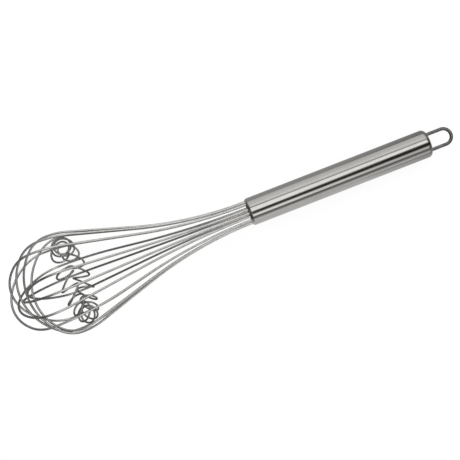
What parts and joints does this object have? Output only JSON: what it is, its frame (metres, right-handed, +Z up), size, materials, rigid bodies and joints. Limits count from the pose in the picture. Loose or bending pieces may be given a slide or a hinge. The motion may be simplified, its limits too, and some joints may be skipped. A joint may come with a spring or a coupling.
{
  "type": "dough whisk",
  "caption": "Stainless steel balloon whisk with a loose coiled wire ring inside its balloon, a round tube handle and a wire hanging loop, lying at rest.",
  "frame": {"origin": "on the table under the middle of the whisk, which lies on its two lowest legs and the rear edge of its handle", "axes": "+X from the tip of the balloon towards the hanging loop, along the table; +Z up from the table"},
  "size_m": [0.3324, 0.0732, 0.0729],
  "materials": {
    "handle_steel": "satin polished",
    "wire_steel": "polished wire",
    "coil_steel": "drawn wire",
    "plug_resin": "matt"
  },
  "bodies": {
    "whisk": {"handle_tube": "handle_steel", "wire_plug": "plug_resin", "rear_cap": "handle_steel", "hanging_loop": "wire_steel", "balloon_wire_1": "wire_steel", "balloon_wire_2": "wire_steel", "balloon_wire_3": "wire_steel", "balloon_wire_4": "wire_steel", "balloon_wire_5": "wire_steel", "balloon_wire_6": "wire_steel", "balloon_wire_7": "wire_steel", "balloon_wire_8": "wire_steel"},
    "coil_ring": {"coil_ring": "coil_steel"}
  },
  "joints": [
    {"name": "coil_ring_slide", "type": "slide", "parent": "whisk", "child": "coil_ring", "axis": [-0.9953, 0, 0.0971], "range_m": [0, 0.0115]}
  ]
}
